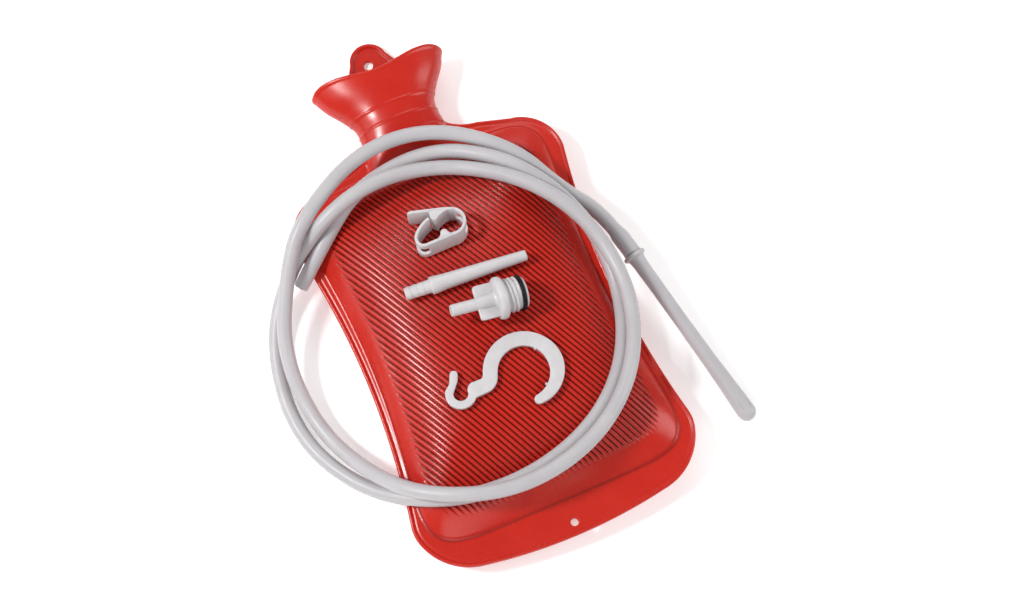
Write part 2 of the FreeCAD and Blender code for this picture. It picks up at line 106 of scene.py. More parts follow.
# ---- hose, mm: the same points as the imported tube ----
HOSE_OD = 10.0
HOSE_ID = 6.5
HOSE_ROUTE = [
    (-105, 36, 21), (-76, 58, 37), (-44, 81, 40), (10, 88, 39), (51, 60, 50), (77, 26, 44), (93, -15, 30),
    (87, -66, 29), (63, -110, 45), (24, -138, 48), (-28, -148, 44), (-78, -138, 37), (-120, -106, 15),
    (-146, -53, 7), (-138, 11, 7), (-110, 49, 18), (-77, 65, 49), (-37, 76, 54), (6, 74, 43), (43, 52, 51),
    (72, 22, 54), (92, -15, 41), (93, -66, 43), (69, -115, 53), (26, -146, 55), (-30, -154, 54),
    (-84, -133, 48), (-112, -98, 22), (-131, -54, 9), (-133, -1, 19), (-111, 43, 37), (-89, 70, 51),
    (-37, 101, 48), (16, 99, 46), (62, 65, 43), (81, 28, 34), (102.4, 3, 25.2), (109.4, -29.9, 21.4),
]
HOSE_FLARE_R = 6.1
LONG_NOZZLE_LEN = 137.0
COLLAR_R = 8.0
BULB_R = 6.4
FLUTES = 6

# ---- loose pieces, mm ----
LIE_Z = SEAM_Z + CROWN + 0.3
SHORT_NOZZLE_AT = (-44.4, -4.4)
SHORT_NOZZLE_TO = (38.8, -10.6)
SHORT_LEN = 84.0
ADAPTOR_AT = (-22.6, -30.6)
ADAPTOR_TO = (28.3, -35.1)
SPIGOT_R = 4.0
SPIGOT_LEN = 17.6
WING = (23.4, 13.0, 3.2)
ADAPTOR_FLANGE_R = 14.4
ADAPTOR_FLANGE_LEN = 6.2
THREAD_R = 11.7
THREAD_ROOT_R = 10.4
THREAD_PITCH = 3.0
THREAD_TURNS = 3
RING_MID_R = 10.7
RING_R = 1.35
NOSE_R = 9.6
NOSE_LEN = 1.8
HOOK_AT = (6.8, -81.9)
HOOK_TURN = -23.25
HOOK_THICK = 4.0
CLAMP_AT = (-22.0, 21.5)
CLAMP_TURN = -4.0
CLAMP_TILT = -8.5
CLAMP_Z = 43.75
CLAMP_W = 17.0
STRIP = 2.0
BOW = (23.2, 5.4)
BOW_R = 9.3
HINGE_TURN = 62
TOOTH_AT = (16.6, -1.0)
TOOTH_R = 2.4
SLOT_HALF = 4.0
EDGE_BEVEL = 0.45

# ---- light: name, place in metres, size in metres, watts ----
WORLD_LIGHT = 0.3
FLOOR_GLOW = 0.3
FLOOR_HALF = 4.0
FLOOR_Z = -0.0005
LIGHTS = [
    ("key", (-1.14, 0.4, 1.6), 0.3, 24),
    ("right", (1.9, -0.7, 1.2), 1.2, 20),
    ("back", (0.8, 1.8, 1.6), 1.6, 13),
    ("front", (-0.9, -1.8, 1.6), 1.6, 16),
    ("left", (-1.9, 0.7, 1.2), 1.4, 9),
]


# ---- camera, floor and light ----
def make_camera():
    data = bpy.data.cameras.new("camera")
    data.lens = VIEW_LENS
    data.sensor_width = 36.0
    data.clip_end = 20.0
    camera = bpy.data.objects.new("camera", data)
    bpy.context.collection.objects.link(camera)
    reach = math.cos(VIEW_ELEVATION)
    back = Vector((math.sin(VIEW_AZIMUTH) * reach, -math.cos(VIEW_AZIMUTH) * reach,
                   math.sin(VIEW_ELEVATION)))
    camera.location = VIEW_TARGET + back * VIEW_DISTANCE
    camera.rotation_euler = back.to_track_quat("Z", "Y").to_euler()
    bpy.context.scene.camera = camera


def area_light(name, place, size, watts):
    """A square soft light that faces the middle of the bag."""
    data = bpy.data.lights.new(name, "AREA")
    data.size = size
    data.energy = watts
    light = bpy.data.objects.new(name, data)
    bpy.context.collection.objects.link(light)
    light.location = place
    light.rotation_euler = Vector(place).to_track_quat("Z", "Y").to_euler()


def make_studio():
    bpy.context.scene.view_settings.view_transform = "Standard"
    world = bpy.data.worlds.new("studio")
    bpy.context.scene.world = world
    world.use_nodes = True
    background = world.node_tree.nodes["Background"]
    background.inputs["Color"].default_value = (1, 1, 1, 1)
    background.inputs["Strength"].default_value = WORLD_LIGHT
    for light in LIGHTS:
        area_light(*light)


# ---- meshes ----
def add_piece(name, points, faces, material, body, smooth_angle=None):
    """A mesh object from points in millimetres, riding on a body in place of the node of its name."""
    mesh = bpy.data.meshes.new(name)
    mesh.from_pydata((np.asarray(points, float) * MM).tolist(), [], faces)
    mesh.validate()
    mesh.shade_smooth()
    if smooth_angle:
        mesh.set_sharp_from_angle(angle=math.radians(smooth_angle))
    piece = bpy.data.objects.new(name, mesh)
    bpy.context.collection.objects.link(piece)
    mesh.materials.append(material)
    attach(piece, body)
    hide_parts(name)
    return piece


def joined(*parts):
    """Several (points, faces) shapes as one."""
    points, faces = [], []
    for some_points, some_faces in parts:
        base = len(points)
        points.extend([tuple(p) for p in some_points])
        faces.extend([tuple(i + base for i in f) for f in some_faces])
    return points, faces


def moved(points, matrix):
    return [matrix @ Vector(p) for p in points]


def level(height):
    """A height function that is the same everywhere."""
    return lambda x, y: np.full(np.shape(x), height)


def runs_along(line):
    """The length from a line's start to each of its points."""
    runs = [0.0]
    for a, b in zip(line, line[1:]):
        runs.append(runs[-1] + (b - a).length)
    return runs


def bend(start, corner, end, steps):
    """Points of a small curve from start to end that rounds a corner."""
    out = []
    for k in range(steps + 1):
        t = k / steps
        out.append(tuple((1 - t) ** 2 * start + 2 * t * (1 - t) * corner + t * t * end))
    return out


def loop_area(loop):
    p = np.asarray(loop)
    q = np.roll(p, -1, 0)
    return float(np.sum(p[:, 0] * q[:, 1] - q[:, 0] * p[:, 1]) / 2)


def anticlockwise(loop):
    return loop[::-1] if loop_area(loop) < 0 else loop


def polar(centre, r, degrees):
    a = math.radians(degrees)
    return centre[0] + r * math.cos(a), centre[1] + r * math.sin(a)


def along_axis(start, end):
    """The matrix that turns a shape built along +Z so that it runs from start towards end."""
    direction = Vector(end) - Vector(start)
    turn = Vector((0, 0, 1)).rotation_difference(direction)
    return Matrix.Translation(Vector(start)) @ turn.to_matrix().to_4x4()


def ring_faces(rings, count, closed=False):
    """Quads between rings of points with count points each."""
    faces = []
    for i in range(rings if closed else rings - 1):
        a, b = i * count, ((i + 1) % rings) * count
        for j in range(count):
            k = (j + 1) % count
            faces.append((a + j, a + k, b + k, b + j))
    return faces


def lathe(profile, count=64, shape=None):
    """A closed turned shape about +Z from a closed loop of (radius, height) points.

    shape(angle, radius, height) may return a changed radius."""
    points = []
    for radius, height in profile:
        for j in range(count):
            angle = 2 * math.pi * j / count
            r = shape(angle, radius, height) if shape else radius
            points.append((r * math.cos(angle), r * math.sin(angle), height))
    return points, ring_faces(len(profile), count, closed=True)


def rounded(profile, radius, steps=3):
    """A closed (radius, height) loop with each corner replaced by a small curve."""
    out = []
    count = len(profile)
    for i in range(count):
        before, here, after = (Vector(profile[(i + k) % count]) for k in (-1, 0, 1))
        reach = min(radius, 0.45 * (before - here).length, 0.45 * (after - here).length)
        start = here + (before - here).normalized() * reach
        end = here + (after - here).normalized() * reach
        out += bend(start, here, end, steps)
    return out


def arc_points(a, b, c, spacing):
    """Points of the circular arc from a through b to c, without its last point."""
    ax, ay, bx, by, cx, cy = *a, *b, *c
    d = 2 * (ax * (by - cy) + bx * (cy - ay) + cx * (ay - by))
    sa, sb, sc = ax * ax + ay * ay, bx * bx + by * by, cx * cx + cy * cy
    ox = (sa * (by - cy) + sb * (cy - ay) + sc * (ay - by)) / d
    oy = (sa * (cx - bx) + sb * (ax - cx) + sc * (bx - ax)) / d
    radius = math.hypot(ax - ox, ay - oy)
    t0, t1, t2 = (math.atan2(y - oy, x - ox) for x, y in (a, b, c))
    full = 2 * math.pi
    sweep = (t2 - t0) % full
    if (t1 - t0) % full > sweep:
        sweep -= full
    steps = max(2, math.ceil(abs(sweep) * radius / spacing))
    return [(ox + radius * math.cos(t0 + sweep * k / steps), oy + radius * math.sin(t0 + sweep * k / steps))
            for k in range(steps)]


def line_points(a, b, spacing):
    steps = max(1, math.ceil(math.dist(a, b) / spacing))
    return [(a[0] + (b[0] - a[0]) * k / steps, a[1] + (b[1] - a[1]) * k / steps) for k in range(steps)]


def path_points(start, moves, spacing):
    """Points along straight moves (end,) and arcs (via, end), without the last end."""
    points = []
    for *via, end in moves:
        points += arc_points(start, *via, end, spacing) if via else line_points(start, end, spacing)
        start = end
    return points


def circle_points(centre, radius, count):
    return [(centre[0] + radius * math.cos(2 * math.pi * k / count),
             centre[1] + radius * math.sin(2 * math.pi * k / count)) for k in range(count)]


def inward_normals(loop):
    """Unit vectors into the material, at the points of an anticlockwise loop."""
    p = np.asarray(loop, float)
    along = np.roll(p, -1, 0) - np.roll(p, 1, 0)
    normals = np.stack([-along[:, 1], along[:, 0]], 1)
    return normals / np.linalg.norm(normals, axis=1)[:, None]


def inside_loop(points, loop):
    """Which points lie inside a closed loop."""
    x, y = points[:, 0], points[:, 1]
    inside = np.zeros(len(points), bool)
    p = np.asarray(loop, float)
    for (x0, y0), (x1, y1) in zip(p, np.roll(p, -1, 0)):
        if y0 == y1:
            continue
        crosses = (y0 > y) != (y1 > y)
        inside ^= crosses & (x < (x1 - x0) * (y - y0) / (y1 - y0) + x0)
    return inside


def slab(loops, filler, top, bottom, bevel, fixed=None):
    """A plate between two height functions, with rounded edges.

    loops are the anticlockwise outline, then clockwise holes.  filler is the points inside the
    top face.  fixed marks outline points that get no rounding.  Heights take arrays x and y."""
    turns = [0.0, 0.35, 0.7, 1.0]
    insets = [bevel * (1 - math.sin(t * math.pi / 2)) for t in turns]
    drops = [bevel * (1 - math.cos(t * math.pi / 2)) for t in turns]
    edge_points, edge_faces, top_loops, low_loops = [], [], [], []
    for number, loop in enumerate(loops):
        loop = np.asarray(loop, float)
        inward = inward_normals(loop)
        if number == 0 and fixed is not None:
            inward[fixed] = 0
        base, count = len(edge_points), len(loop)
        rows = [(inset, drop, 1) for inset, drop in zip(insets, drops)]
        rows += [(inset, drop, -1) for inset, drop in reversed(list(zip(insets, drops)))]
        for inset, drop, face in rows:
            p = loop + inward * inset
            limit = top(p[:, 0], p[:, 1]) if face > 0 else bottom(p[:, 0], p[:, 1])
            edge_points.extend(np.column_stack([p, limit - face * drop]).tolist())
        edge_faces.extend([tuple(i + base for i in f[::-1]) for f in ring_faces(len(rows), count)])
        top_loops.append(range(base, base + count))
        low_loops.append(range(base + (len(rows) - 1) * count, base + len(rows) * count))
    points = list(edge_points)
    faces = list(edge_faces)
    for rings, height, flip, extra in ((top_loops, top, False, filler), (low_loops, bottom, True, filler)):
        ids = [i for ring in rings for i in ring]
        plan = [Vector(points[i][:2]) for i in ids]
        edges, start = [], 0
        for ring in rings:
            n = len(ring)
            edges += [(start + k, start + (k + 1) % n) for k in range(n)]
            start += n
        extra = np.asarray(extra, float).reshape(-1, 2)
        plan_all = plan + [Vector(p) for p in extra]
        out, _, triangles, source, _, _ = delaunay_2d_cdt(plan_all, edges, [], 0, 1e-7)
        heights = height(extra[:, 0], extra[:, 1]) if len(extra) else []
        index = []
        for k, origins in enumerate(source):
            first = origins[0] if origins else None
            if first is not None and first < len(plan):
                index.append(ids[first])
                continue
            index.append(len(points))
            x, y = out[k]
            if first is None:
                z = float(height(np.array([x]), np.array([y]))[0])
            else:
                z = float(heights[first - len(plan)])
            points.append((x, y, z))
        centres = np.array([[sum(out[i].x for i in t) / 3, sum(out[i].y for i in t) / 3] for t in triangles])
        keep = inside_loop(centres, [plan[k] for k in range(len(rings[0]))])
        start = len(rings[0])
        for ring in rings[1:]:
            keep &= ~inside_loop(centres, [plan[k] for k in range(start, start + len(ring))])
            start += len(ring)
        for t, good in zip(triangles, keep):
            if good:
                face = tuple(index[i] for i in t)
                faces.append(face[::-1] if flip else face)
    return points, faces


# ---- materials ----
class Look:
    """A procedural material, built node by node."""

    def __init__(self, name):
        self.material = bpy.data.materials.new(name)
        self.material["slot"] = name
        self.material.use_nodes = True
        self.tree = self.material.node_tree
        self.shader = self.tree.nodes["Principled BSDF"]
        self.place = self.tree.nodes.new("ShaderNodeTexCoord").outputs["Object"]

    def link(self, output, node, socket):
        self.tree.links.new(output, node.inputs[socket])

    def noise(self, per_metre, detail=3.0, stretch=None):
        """Noise whose spots are about 1 / per_metre across."""
        node = self.tree.nodes.new("ShaderNodeTexNoise")
        node.inputs["Scale"].default_value = per_metre
        node.inputs["Detail"].default_value = detail
        place = self.place
        if stretch:
            mapping = self.tree.nodes.new("ShaderNodeMapping")
            mapping.inputs["Scale"].default_value = stretch
            self.link(place, mapping, "Vector")
            place = mapping.outputs["Vector"]
        self.link(place, node, "Vector")
        return node.outputs["Fac"]

    def spread(self, value, low, high):
        """Noise values between 0.3 and 0.7 as numbers between low and high."""
        node = self.tree.nodes.new("ShaderNodeMapRange")
        node.inputs["From Min"].default_value = 0.3
        node.inputs["From Max"].default_value = 0.7
        node.inputs["To Min"].default_value = low
        node.inputs["To Max"].default_value = high
        self.link(value, node, "Value")
        return node.outputs["Result"]

    def mix(self, factor, first, second):
        """A colour between two colours, each a tuple or an output."""
        node = self.tree.nodes.new("ShaderNodeMix")
        node.data_type = "RGBA"
        self.link(factor, node, 0)
        for socket, colour in ((6, first), (7, second)):
            if isinstance(colour, tuple):
                node.inputs[socket].default_value = (*colour, 1)
            else:
                self.link(colour, node, socket)
        return node.outputs[2]

    def bump(self, height, depth_mm, strength=1.0, below=None):
        node = self.tree.nodes.new("ShaderNodeBump")
        node.inputs["Distance"].default_value = depth_mm * MM
        node.inputs["Strength"].default_value = strength
        self.link(height, node, "Height")
        if below:
            self.link(below, node, "Normal")
        return node.outputs["Normal"]

    def attribute(self, name):
        node = self.tree.nodes.new("ShaderNodeAttribute")
        node.attribute_name = name
        return node.outputs["Fac"]

    def set(self, socket, value):
        if isinstance(value, bpy.types.NodeSocket):
            self.link(value, self.shader, socket)
        else:
            self.shader.inputs[socket].default_value = value


def red_rubber():
    look = Look("red_rubber")
    patches = look.spread(look.noise(22, 4), 0, 1)
    red = look.mix(patches, (0.49, 0.014, 0.006), (0.55, 0.021, 0.010))
    specks = look.spread(look.noise(900, 2), 0.0, 0.25)
    red = look.mix(specks, red, (0.46, 0.012, 0.006))
    # Painted shade: a near-black red mixed in by the groove attribute, in the rib grooves and along the step
    # crease.
    red = look.mix(look.attribute("groove"), red, (0.05, 0.0, 0.0))
    look.set("Base Color", red)
    look.set("Roughness", look.spread(look.noise(60, 4), 0.22, 0.31))
    look.set("Specular IOR Level", 0.4)
    look.set("Subsurface Weight", 0.05)
    look.set("Subsurface Radius", (0.002, 0.0004, 0.0003))
    ripple = look.bump(look.noise(35, 2), 0.35, 0.2)
    look.set("Normal", look.bump(look.noise(1600, 2), 0.02, 0.6, ripple))
    return look.material


def plain_look(name, patches, colours, grain, gloss, bumps, depth_mm, others):
    """A material with patches of two close colours, an uneven gloss and fine bumps."""
    look = Look(name)
    look.set("Base Color", look.mix(look.spread(look.noise(*patches), 0, 1), *colours))
    look.set("Roughness", look.spread(look.noise(*grain), *gloss))
    for socket, value in others.items():
        look.set(socket, value)
    look.set("Normal", look.bump(look.noise(*bumps), depth_mm, 0.5))
    return look.material


def white_hose():
    return plain_look("white_hose", (40, 3), ((0.455, 0.437, 0.455), (0.495, 0.477, 0.49)),
                      (150, 3), (0.34, 0.46), (500, 3), 0.03,
                      {"Subsurface Weight": 0.25, "Subsurface Radius": (0.004, 0.0035, 0.0035)})


def white_plastic():
    return plain_look("white_plastic", (120, 3), ((0.55, 0.53, 0.54), (0.60, 0.58, 0.59)),
                      (400, 3), (0.30, 0.42), (1200, 2), 0.012,
                      {"Subsurface Weight": 0.15, "Subsurface Radius": (0.002, 0.0016, 0.0015)})


def brass_insert():
    return plain_look("brass_insert", (260, 4), ((0.78, 0.56, 0.25), (0.55, 0.38, 0.16)),
                      (700, 3), (0.22, 0.42), (900, 2, (1, 30, 1)), 0.02, {"Metallic": 1.0})


def black_seal():
    return plain_look("black_seal", (500, 3), ((0.004, 0.004, 0.005), (0.010, 0.010, 0.011)),
                      (900, 2), (0.42, 0.6), (2000, 2), 0.01, {"Specular IOR Level": 0.2})


# ---- bag ----
def smooth_step(x, low, high):
    t = np.clip((x - low) / (high - low), 0, 1)
    return t * t * (3 - 2 * t)


def smooth_max(a, b, k):
    return np.maximum(a, b) + np.maximum(k - np.abs(a - b), 0) ** 2 / (4 * k)


def squircle(x, y, half_x, half_y, middle_y):
    u = np.abs(x) / half_x
    v = np.abs(y - middle_y) / half_y
    return (u ** CORNER_POWER + v ** CORNER_POWER) ** (1 / CORNER_POWER)


def waist(y):
    return WAIST_HALF + WAIST_FLARE * ((y - WAIST_Y) / 100) ** 2


def body_radius(x, y, inset=0.0):
    """0 at the middle of the water space and 1 on its edge."""
    return squircle(x, y, waist(y) - inset, BODY_HALF - inset, BODY_Y)


def panel_radius(x, y):
    """0 at the middle of the ribbed panel and 1 on its edge."""
    return squircle(x, y, waist(y) - PANEL_INSET, PANEL_HALF, BODY_Y)


def section(table, y, column):
    """A smooth value through a table of sections, by its first column."""
    places = [row[0] for row in table]
    values = [row[column] for row in table]
    slopes = np.gradient(values, places)
    y = np.clip(y, places[0], places[-1])
    k = np.clip(np.searchsorted(places, y, side="right") - 1, 0, len(places) - 2)
    p, v = np.array(places, float), np.array(values, float)
    step = p[k + 1] - p[k]
    t = (y - p[k]) / step
    return ((2 * t ** 3 - 3 * t ** 2 + 1) * v[k] + (t ** 3 - 2 * t ** 2 + t) * step * slopes[k]
            + (3 * t ** 2 - 2 * t ** 3) * v[k + 1] + (t ** 3 - t ** 2) * step * slopes[k + 1])


def half_tube(table, x, y, column):
    """Height over the seam of a flattened tube; nothing outside its sections."""
    across = np.clip(np.abs(x) / section(table, y, 1), 0, 1)
    fade = smooth_step(y, table[0][0], table[0][0] + 12)
    return section(table, y, column) * np.sqrt(1 - across ** 2) * fade


def groove_amount(x, y):
    """1 at the bottom of a groove between two ribs, 0 on a rib's crest and off the panel."""
    across = x * RIB_ACROSS.x + y * RIB_ACROSS.y
    wave = np.abs(np.sin(np.pi * across / RIB_PITCH))
    fade = 1 - smooth_step(panel_radius(x, y), 0.955, 1.0)
    return (1 - wave) ** RIB_SHARP * fade


def bag_outline(spacing):
    """The flange's edge, anticlockwise, and which of its points lie across the neck."""
    bottom, corner, side, shoulder = (63.0, -184.5), (98.4, -154.7), (99.0, -142.4), (98.0, 60.0)
    top, fillet, neck = (72.0, 93.0), (50.0, 99.5), (NECK_HALF, NECK_Y)
    right = path_points((0, BOTTOM_Y), [
        ((32.0, -188.6), bottom), ((90.5, -169.5), corner), ((99.4, -148.6), side),
        ((89.2, -27.0), shoulder), ((91.0, 82.5), top), (fillet,), ((38.5, 102.6), neck)], spacing)
    left = [(-x, y) for x, y in reversed(right[1:])]
    across = [(-x, y) for x, y in line_points((-neck[0], neck[1]), neck, spacing)]
    loop = right + across + [(-neck[0], neck[1])] + left
    fixed = np.zeros(len(loop), bool)
    fixed[len(right):len(right) + len(across) + 1] = True
    return loop, fixed


def edge_distance(loop, fixed):
    """A function that gives the distance from the flange's free edge."""
    tree = KDTree(len(loop))
    for i, ((x, y), skip) in enumerate(zip(loop, fixed)):
        if not skip:
            tree.insert((x, y, 0), i)
    tree.balance()
    return lambda x, y: np.array([tree.find((a, b, 0))[2] for a, b in zip(x, y)])


def bag_filler(loop, fixed, hole):
    """Plan points inside the outline: rings near the edge, rib lines on the panel, a plain grid between."""
    outline = np.asarray(loop)
    inward = inward_normals(loop)
    rings = [outline[~fixed] + inward[~fixed] * d for d in (0.9, 1.4, 1.9, 2.4, 2.9, 3.4, 4.0, 4.8, 5.8)]
    rings = np.vstack(rings)
    step = RIB_PITCH / RIB_STEPS
    u, v = np.meshgrid(np.arange(-170, 170, step), np.arange(-200, 200, 2.2))
    u, v = u.ravel(), v.ravel()
    ribs = np.stack([u * RIB_ACROSS.x + v * RIB_ALONG.x, u * RIB_ACROSS.y + v * RIB_ALONG.y], 1)
    ribs = ribs[panel_radius(ribs[:, 0], ribs[:, 1]) < 1.02]
    x, y = (a.ravel() for a in np.meshgrid(np.arange(-100, 100.1, 1.8), np.arange(-190, NECK_Y - 0.5, 1.8)))
    plain = np.stack([x, y], 1)
    plain = plain[panel_radius(x, y) >= 1.035]
    plain = plain[inside_loop(plain, loop)]
    distance = edge_distance(loop, fixed)
    plain = plain[distance(plain[:, 0], plain[:, 1]) > 6.8]
    plain = plain[np.abs(body_radius(plain[:, 0], plain[:, 1]) - STEP_AT) > 0.03]
    steps = step_rings()
    steps = steps[distance(steps[:, 0], steps[:, 1]) > 6.2]
    points = np.vstack([rings, ribs, plain, steps])
    points = points[points[:, 1] < NECK_Y - 0.4]
    return points[np.hypot(points[:, 0] - hole[0], points[:, 1] - hole[1]) > HANG_HOLE_R + 0.9]


def step_rings():
    """Plan points in close rings along the body's step, where it meets the flange."""
    turns = np.linspace(0, 2 * np.pi, 620, endpoint=False)
    rings = []
    for radius in np.linspace(STEP_AT - 0.022, STEP_AT + 0.022, 12):
        low, high = np.zeros(len(turns)), np.full(len(turns), 200.0)
        for _ in range(24):
            middle = (low + high) / 2
            inside = body_radius(middle * np.cos(turns), BODY_Y + middle * np.sin(turns)) < radius
            low, high = np.where(inside, middle, low), np.where(inside, high, middle)
        rings.append(np.stack([low * np.cos(turns), BODY_Y + low * np.sin(turns)], 1))
    return np.vstack(rings)


def dents(x, y):
    """Shallow uneven places of the soft body, away from the ribbed panel."""
    waves = (np.sin(x / 17 + y / 23 + 1.0) + np.sin(y / 13 - x / 31 + 2.0) + np.sin(x / 11 - y / 37 + 0.5))
    beside = smooth_step(panel_radius(x, y), 0.9, 1.02) * (1 - smooth_step(body_radius(x, y), 0.93, 0.98))
    return 0.35 * waves * beside


def wall_heights(side, distance):
    """Height functions of a wall's outer and inner face; side is 1 in front and -1 behind."""
    rise = CROWN if side > 0 else BELLY
    column = 2 if side > 0 else 3

    def outer(x, y):
        radius = body_radius(x, y)
        pillow = rise * (1 - radius ** CROWN_POWER) + dents(x, y)
        pillow = pillow + STEP_RISE * (1 - smooth_step(radius, STEP_AT - 0.012, STEP_AT + 0.004))
        pillow = pillow - STEP_RISE * (1 - smooth_step(radius, 0.80, 0.955))
        height = smooth_max(pillow, half_tube(WALL_ROOT, x, y, column), 5.0)
        height = smooth_max(height, FLANGE, 1.0)
        if side < 0:
            height = -smooth_max(-height, -SEAM_Z, 2.5)
        away = distance(x, y)
        bead = 0.55 * np.exp(-((away - 1.3) / 0.9) ** 2) - 0.45 * np.exp(-((away - 3.1) / 0.6) ** 2)
        free = 1 - smooth_step(height, FLANGE + 1.5, FLANGE + 5.0)
        height = height + bead * free - RIB_DEPTH * groove_amount(x, y)
        return SEAM_Z + side * height

    def inner(x, y):
        space = (rise - WALL) * (1 - body_radius(x, y, WALL) ** CROWN_POWER)
        height = np.maximum(np.maximum(space, half_tube(ROOT_SPACE, x, y, column)), 0)
        return SEAM_Z + side * np.minimum(height, SEAM_Z - WALL if side < 0 else 99)

    return outer, inner


def add_wall(name, side, outline, filler, hole, material):
    loop, fixed = outline
    outer, inner = wall_heights(side, edge_distance(loop, fixed))
    low, high = (inner, outer) if side > 0 else (outer, inner)
    points, faces = slab([loop, hole], filler, high, low, 0.6, fixed)
    piece = add_piece(name, points, faces, material, "bag")
    plan = np.asarray(points)
    x, y = plan[:, 0], plan[:, 1]
    # Painted shade: the groove attribute below darkens the rubber's colour in the rib grooves and along the
    # crease at the step, where shade falls.
    painted_step_shade = 0.5 * np.exp(-((body_radius(x, y) - STEP_AT - 0.005) / 0.006) ** 2) * (y < WAIST_Y)
    groove = piece.data.attributes.new("groove", "FLOAT", "POINT")
    groove.data.foreach_set("value", np.maximum(groove_amount(x, y) ** 0.7, painted_step_shade))
    return piece


def add_walls(material):
    outline = bag_outline(1.5)
    filler = bag_filler(*outline, HANG_HOLE)
    hole = circle_points(HANG_HOLE, HANG_HOLE_R, 28)[::-1]
    add_wall("bag_front_wall", 1, outline, filler, hole, material)
    add_wall("bag_back_wall", -1, outline, filler, hole, material)


def rim_limit(x, front):
    """The funnel ends here, at a distance x from its middle."""
    table = FRONT_RIM if front else BACK_RIM
    return float(np.interp(abs(x), [row[0] for row in table], [row[1] for row in table]))


def funnel_size(table, y):
    return [float(section(table, np.array(y), k)) for k in (1, 2, 3)]


def funnel_point(table, y, angle, swell=0.0):
    """A point of the funnel's outside or inside, grown by swell."""
    half_width, front, back = funnel_size(table, y)
    across, up = math.cos(angle), math.sin(angle)
    rise = front if up > 0 else back
    return ((half_width + swell) * across, y, SEAM_Z + (rise + swell) * up)


def funnel_line(table, start, angle, steps, swell):
    """Points from a start height out to the trimmed rim, at one angle round the funnel."""
    end = MOUTH_Y
    for _ in range(6):
        end = rim_limit(funnel_point(table, end, angle)[0], math.sin(angle) > 0) - RIM_ROUND
    return [funnel_point(table, y, angle, swell(y, end)) for y in np.linspace(start, end, steps)]


def add_funnel(material):
    """Neck and filling funnel: outside, thin rolled rim, inside, and the bore round the insert."""
    count = 160

    def outside(y, end):
        swell = sum(0.4 * math.exp(-((y - at) / 0.6) ** 2) for at in NECK_LINES)
        return swell + 0.32 * float(smooth_step(np.array(y - end), -2.4, -1.6))

    columns = []
    for j in range(count):
        angle = 2 * math.pi * j / count
        outer = funnel_line(FUNNEL, NECK_Y, angle, 84, outside)
        inner = funnel_line(FUNNEL_SPACE, INSERT_Y[1], angle, 30, lambda y, end: 0.0)[::-1]
        a, b = Vector(outer[-1]), Vector(inner[0])
        lip = []
        for turn in (25, 55, 90, 125, 155):
            t = (1 - math.cos(math.radians(turn))) / 2
            p = a.lerp(b, t)
            lip.append((p.x, p.y + RIM_ROUND * math.sin(math.radians(turn)), p.z))
        bore = [(NECK_BORE_R * math.cos(angle), y, SEAM_Z + NECK_BORE_R * math.sin(angle))
                for y in (INSERT_Y[1] - 0.05, INSERT_Y[0], NECK_Y)]
        columns.append(outer + lip + inner + bore)
    per = len(columns[0])
    points = [columns[j][i] for i in range(per) for j in range(count)]
    faces = ring_faces(per, count, closed=True)
    add_piece("mouth_funnel", points, faces, material, "bag")


def tab_outline():
    base, flare, top = TAB_SIDE
    foot = (base[0], MOUTH_Y - 3)
    right = line_points(foot, base, 1.0) + line_points(base, flare, 1.0) + line_points(flare, top, 1.0)
    arch = arc_points(top, (0, TAB_TOP_Y), (-top[0], top[1]), 1.0)
    left = [(-x, y) for x, y in right[::-1]]
    return line_points((-foot[0], foot[1]), foot, 1.5)[1:] + right + arch + [(-top[0], top[1])] + left


def add_tab(material):
    """The hanging eye: a raised bead round a sunk face with a hole."""
    loop = tab_outline()
    hole = circle_points(TAB_HOLE, TAB_HOLE_R, 40)[::-1]
    x, y = (a.ravel() for a in np.meshgrid(np.arange(-20, 20.1, 0.6), np.arange(MOUTH_Y - 3, 190, 0.6)))
    filler = np.stack([x, y], 1)
    filler = filler[inside_loop(filler, loop)]
    distance = edge_distance(loop, np.zeros(len(loop), bool))
    filler = filler[distance(filler[:, 0], filler[:, 1]) > 0.9]
    filler = filler[np.hypot(filler[:, 0] - TAB_HOLE[0], filler[:, 1] - TAB_HOLE[1]) > TAB_HOLE_R + 0.9]

    def top(x, y):
        edge = 1 - smooth_step(distance(x, y), 2.3, 3.1)
        return TAB_Z[1] - TAB_SINK * (1 - edge)

    points, faces = slab([loop, hole], filler, top, level(TAB_Z[0]), 0.5)
    add_piece("hanging_tab", points, faces, material, "bag")


# ---- hose and long nozzle ----
def hose_line():
    """The hose's centre line, read from one smooth curve through its route."""
    curve = bpy.data.curves.new("hose_line", "CURVE")
    curve.dimensions = "3D"
    curve.resolution_u = 32
    spline = curve.splines.new("NURBS")
    spline.points.add(len(HOSE_ROUTE) - 1)
    for point, place in zip(spline.points, HOSE_ROUTE):
        point.co = (*(c * MM for c in place), 1)
    spline.order_u = 3
    spline.use_endpoint_u = True
    carrier = bpy.data.objects.new("hose_line", curve)
    bpy.context.collection.objects.link(carrier)
    bpy.context.view_layer.update()
    mesh = bpy.data.meshes.new_from_object(carrier)
    line = [Vector(v.co) / MM for v in mesh.vertices]
    bpy.data.objects.remove(carrier)
    bpy.data.meshes.remove(mesh)
    bpy.data.curves.remove(curve)
    return line


def frames_along(line):
    """Two unit vectors across the line at each point, carried along without twist."""
    tangents = [(b - a).normalized() for a, b in zip(line, line[1:])]
    inside = [(a + b).normalized() for a, b in zip(tangents, tangents[1:])]
    tangents = [tangents[0]] + inside + [tangents[-1]]
    side = tangents[0].cross(Vector((0, 0, 1))).normalized()
    frames = []
    for tangent in tangents:
        side = (side - tangent * side.dot(tangent)).normalized()
        frames.append((side, tangent.cross(side)))
    return frames


def tube_ring(centre, axes, radius, count):
    first, second = axes
    return [centre + radius * (math.cos(a) * first + math.sin(a) * second)
            for a in (2 * math.pi * j / count for j in range(count))]


